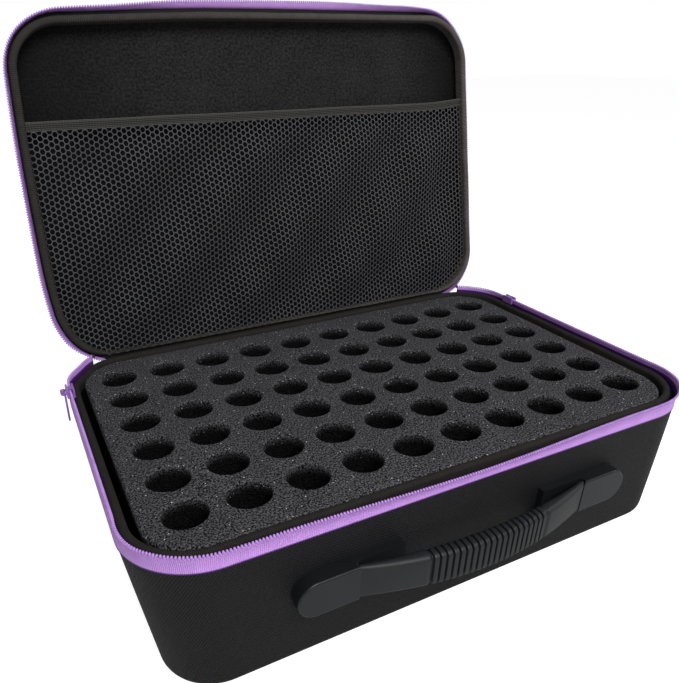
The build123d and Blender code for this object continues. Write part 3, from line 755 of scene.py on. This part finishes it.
# Lid binding
# The same ribbed ribbon, folded over the lid's edge into a deeper roll, which is pressed flat along the
# hinge.
at_hinge = [0, 46, 62, 338, 354, 400]
lid_binding_top = eased(all_round, at_hinge, [-8.2, -8.2, -3.0, -3.0, -8.2, -8.2])
lid_binding_width = eased(all_round, at_hinge, [2.8, 2.8, 5.0, 5.0, 2.8, 2.8])
lip = rolled_lip(-13.0, lid_binding_top, 0.3, lid_pinch, lid_binding_width) * [1, 1, -1]
# The lid's ribbon takes painted shade, darker on its left
lid_ribbon = ribbed_ribbon("lid_binding_ribbon", colour(10, 10, 10), colour(112, 106, 102), 1.2 * mm,
                           shaded_left=True)
lid_binding = surface("lid_binding_ribbon", lip[::-1], lid_ribbon, place=on_lid)
fit(lid_binding, "lid", "binding_ribbon", "lid_binding")

# Lid zip tape
# The other half of the zip. It flares away from the lid's edge along the top and the left side, and is
# tucked in a little on the right.
lid_tape_length, lid_tape_out, lid_tape_rise = 5.9, -0.4, 0.6
lid_tape_start = 52.0
lid_tape_at = np.linspace(lid_tape_start, whole_way - lid_tape_start, 404)
lid_lean = eased(
    lid_tape_at, [0, 56, 64, 76, 100, 124, 134, 146, 160, 185, 215, 240, 252, 262, 276, 340, 400],
    [0, 5, 28, 30, 26, 20, 12, 6, 20, 55, 62, 32, 8, -2, -4, -4, 0])
lid_tape_tucked = eased(lid_tape_at, [0, 246, 264, 336, 346, 400], [0, 0, 1.5, 1.5, 0, 0])
lid_tape_pinch = np.interp(lid_tape_at, all_round, lid_pinch)
lid_strip, lid_edge_way = leaning_strip(lid_tape_at, lid_lean, lid_tape_length - lid_tape_tucked,
                                        lid_tape_pinch + lid_tape_out, lid_rim_lift + lid_tape_rise, -1)
lid_dyed_tape = zip_tape("lid_dyed_zip_tape", *tape_dye_and_shade, 0)
lid_tape = surface("lid_zip_tape_strip", lid_strip[:, ::-1], lid_dyed_tape, closed=False, place=on_lid)
thicken(lid_tape, 0.8, 0)
fit(lid_tape, "lid", "zip_tape", "lid_zip_tape")

# Lid zip teeth
# The other coil, on the free edge of the lid's tape.
lid_teeth = coil_heads("lid_zip_coil_heads", on_lid(lid_strip[-1]), lid_edge_way @ lid_axes, dyed_coil)
fit(lid_teeth, "lid", "zip_coil", "lid_zip_coil")

# Cloth hinge
# One strip of the cover cloth, bonded and sewn to the base's back wall and to the lid's. While the lid
# stands open, the part between the two rims lies in a fold.
strip_half_length = 145.0
# Its section, as points toward the back and up
bend_start, bend_end = np.array([129.3, 89.0]), np.array([130.45, 87.6])
bend_turn = np.radians(np.linspace(180, 0, 9))[:, None]
fold = np.hstack([129.9 + 0.55 * np.cos(bend_turn), 90.0 + 0.6 * np.sin(bend_turn)])
path = np.concatenate([[[128.35, 78.2], [128.8, 83.0], [129.15, 87.5]], [bend_start], fold, [bend_end],
                       [[130.75, 86.4], [132.4, 85.95], [134.8, 85.95], [137.6, 86.55]]])
back, height = path[:, :1], path[:, 1:]
hinge_x = np.linspace(-strip_half_length, strip_half_length, 117)
ripple = 0.2 * unevenness(hinge_x, 0, 60) * bell(height, 90, 3)
hinge_grid = np.stack(np.broadcast_arrays(hinge_x, back + ripple, height), -1) * mm
hinge_cloth = thicken(surface("cloth_hinge", hinge_grid, cover, closed=False), 0.6, 0)
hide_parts("hinge_strip_base", "hinge_strip_lid")
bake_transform(hinge_cloth)

# Pocket net
# Warp-knitted net with round holes, sewn into the binding on three sides and gathered a little by
# the elastic along its free edge, so it hangs in soft slanting folds.
net_pitch, net_depth = 4.05, 7.4
net_outline = binding_outline - binding_width + np.array([1.2, 3.2, 1.2])
net_free_edge = -48.3
hole_share = 0.83
net_stretch = np.array([0.97, 1.10])


def net_folds(x, y):
    """How far the net stands off its plane: slanting waves of two lengths, faded out towards the seams."""
    fade = np.clip((net_outline[0] - np.abs(x)) / 30, 0, 1) * np.clip((net_outline[1] - y) / 30, 0, 1)
    fade = fade * np.clip((y - net_free_edge - 5) / 25, 0, 1)
    slant = x * 0.74 + y * 0.67
    return fade * (3.6 * np.sin(slant * 2 * np.pi / 66 + 0.9)
                   + 1.3 * np.sin((x * 0.95 - y * 0.2) * 2 * np.pi / 47))


# Six-sided cells, every second column half a pitch higher, cut to the binding's outline
cell = net_pitch / np.sqrt(3)
columns = int(net_outline[0] / (1.5 * cell * net_stretch[0])) + 1
cell_column, cell_row = np.meshgrid(np.arange(-columns, columns + 1), np.arange(-14, 32))
cell_x = (cell_column * 1.5 * cell * net_stretch[0]).ravel()
cell_y = ((cell_row + 0.5 * (cell_column % 2)) * net_pitch * net_stretch[1]).ravel()
arc_x, arc_y = net_outline[:2] - net_outline[2]
from_arc = np.hypot(np.maximum(np.abs(cell_x) - arc_x, 0), np.maximum(cell_y - arc_y, 0))
kept = (from_arc < net_outline[2] - 1.0) & (cell_y > net_free_edge)
middles = np.stack([cell_x, cell_y], -1)[kept][:, None, None]
turn = np.radians(np.arange(6) * 60)
corners = np.stack([np.cos(turn), np.sin(turn)], -1) * net_stretch
flat_net = middles + np.array([cell, cell * hole_share])[:, None, None] * corners
flat_net, same = np.unique(np.round(flat_net.reshape(-1, 2), 3), axis=0, return_inverse=True)
order = same.reshape(-1, 2, 6)
after = np.roll(order, -1, 2)
net_faces = np.stack([order[:, 1], order[:, 0], after[:, 0], after[:, 1]], -1)[..., ::-1].reshape(-1, 4)
net_x, net_y = flat_net.T
net_points = np.stack([net_x, net_y, net_depth + net_folds(net_x, net_y)], -1) * mm
# Dull nylon yarn with fine loops
yarn = clouded("net_yarn", colour(40, 40, 42), colour(82, 82, 86), 0.55, (0.5 * mm, 3), (0.5 * mm, 3),
               0.12 * mm, Specular_IOR_Level=0.4)
net = thicken(piece("pocket_net_knit", on_lid(net_points), net_faces.tolist(), yarn), 0.3, 0)
fit(net, "lid", "pocket_net", "pocket_mesh")

# Pocket band
# Elastic folded over the net's free edge and sewn, with its ends caught under the binding.
band_half_length, band_half_width, band_half_depth = 187.0, 3.35, 1.0
turn = np.radians(np.linspace(0, 360, 24, endpoint=False))
band_y = net_free_edge + band_half_width * np.sign(np.cos(turn)) * np.abs(np.cos(turn)) ** 0.45
band_z = net_depth + band_half_depth * np.sign(np.sin(turn)) * np.abs(np.sin(turn)) ** 0.6
band_x = np.linspace(-band_half_length, band_half_length, 140)[:, None]
# It wavers along its way, and rises at the right end
band_sway = 0.5 * unevenness(band_x, 0, 130)
band_rise = band_sway * 0.8 - 2.5 * bell(band_x, 190, 26)
band_grid = np.stack(np.broadcast_arrays(band_x, band_y + band_rise, band_z + band_sway), -1) * mm


def elastic(name, low, high):
    """Elastic tape: fine cords along it, puckered a little across, with pale hems that stand out at its
    edges."""
    made, tree, shader = new_finish(name, 0.75, Specular_IOR_Level=0.2)
    uv = coordinates(tree, "UV")
    height = scaled(tree, waves(tree, uv, 2.0 * mm, "Y", 1.0), 0.3, waves(tree, uv, 1.3 * mm, "X", 0.3))
    hem = node(tree, "Attribute", attribute_name="hem").outputs["Fac"]
    dye(tree, shader, scaled(tree, height, 0.45, hem, clamp=True), low, high)
    raise_bumps(tree, shader, height, 0.3 * mm)
    return made


ribbed_elastic = elastic("pocket_elastic", colour(8, 8, 9), colour(84, 83, 81))
band = surface("pocket_elastic_band", band_grid, ribbed_elastic, caps="first last", place=on_lid)
hems = band.data.attributes.new("hem", "FLOAT", "POINT")
hems.data.foreach_set("value", np.tile(0.7 * np.abs(np.cos(turn)) ** 1.6, len(band_x)).astype(np.float32))
fit(band, "lid", "pocket_elastic", "pocket_band")

# Zip sliders and pulls
# Die-cast, each pull flat on its slider's crown. Glossy paint baked on to match the tape, with a faint
# orange peel.
refinish(clouded("slider_enamel", colour(132, 88, 168), colour(156, 110, 192), 0.28,
                 (6 * mm, 2), (0.9 * mm, 2), 0.03 * mm, Coat_Weight=0.4, Coat_Roughness=0.1),
         "zip_slider_left", "zip_slider_right", "zip_pull_left", "zip_pull_right")

# Floor
# A pale sheet under the case. The camera sees it lit up, so that it goes over into the white room.
floor_reach, floor_drop = 6, 0.0003
corners = [(x * floor_reach, y * floor_reach, -floor_drop) for x, y in ((-1, -1), (1, -1), (1, 1), (-1, 1))]
floor_mesh = bpy.data.meshes.new("floor")
floor_mesh.from_pydata(corners, [], [(0, 1, 2, 3)])
floor = placed("floor", floor_mesh)
paper = bpy.data.materials.new("pale_paper")
paper.use_nodes = True
tree = paper.node_tree
tree.nodes.clear()
plain, pale = (node(tree, "BsdfDiffuse", {"Color": (grey, grey, grey, 1)}).outputs[0]
               for grey in (0.7, 0.5))
glow = node(tree, "Emission", {"Color": (1, 1, 1, 1), "Strength": 0.86}).outputs[0]
seen = node(tree, "AddShader", {0: pale, 1: glow}).outputs[0]
by_camera = node(tree, "LightPath").outputs["Is Camera Ray"]
mixed = node(tree, "MixShader", {0: by_camera, 1: plain, 2: seen}).outputs[0]
tree.links.new(mixed, node(tree, "OutputMaterial").inputs["Surface"])
floor_mesh.materials.append(paper)

# Light
# A dim white room, a large soft lamp in front and weaker ones on the right and behind.
room_light, room_seen = 0.24, 0.76
world = bpy.data.worlds.new("white_room")
bpy.context.scene.world = world
world.use_nodes = True
tree = world.node_tree
tree.nodes.clear()
strength = scaled(tree, node(tree, "LightPath").outputs["Is Camera Ray"], room_seen, room_light)
tree.links.new(node(tree, "Background", {"Color": (1, 1, 1, 1), "Strength": strength}).outputs[0],
               node(tree, "OutputWorld").inputs["Surface"])


def lamp(name, place, aim, size, power):
    """A square soft lamp, turned to face a point."""
    light = bpy.data.lights.new(name, "AREA")
    light.shape, light.size, light.energy = "SQUARE", size, power
    made = placed(name, light)
    made.location = place
    made.rotation_euler = (Vector(aim) - Vector(place)).to_track_quat("-Z", "Y").to_euler()


lamp("key_lamp", (-0.1, -1.25, 1.25), (0, 0, 0.1), 0.8, 24)
lamp("fill_lamp", (1.4, -0.4, 0.9), (0, 0, 0.1), 1.0, 6)
lamp("back_lamp", (0.2, 1.6, 0.7), (0, 0, 0.2), 1.2, 7)

# Camera
# Worked out from the grid of holes in the photograph.
lens = bpy.data.cameras.new("camera")
lens.lens, lens.sensor_width, lens.clip_start = 35.40, 36.0, 0.01
camera = placed("camera", lens)
camera.rotation_mode = "QUATERNION"
camera.rotation_quaternion = Matrix(((0.8868, 0.1898, -0.4215), (-0.4622, 0.3547, -0.8127),
                                     (-0.0048, 0.9155, 0.4023))).to_quaternion()
camera.location = (-0.2161, -0.3744, 0.3121)
bpy.context.scene.camera = camera
bpy.context.scene.view_settings.view_transform = "Standard"
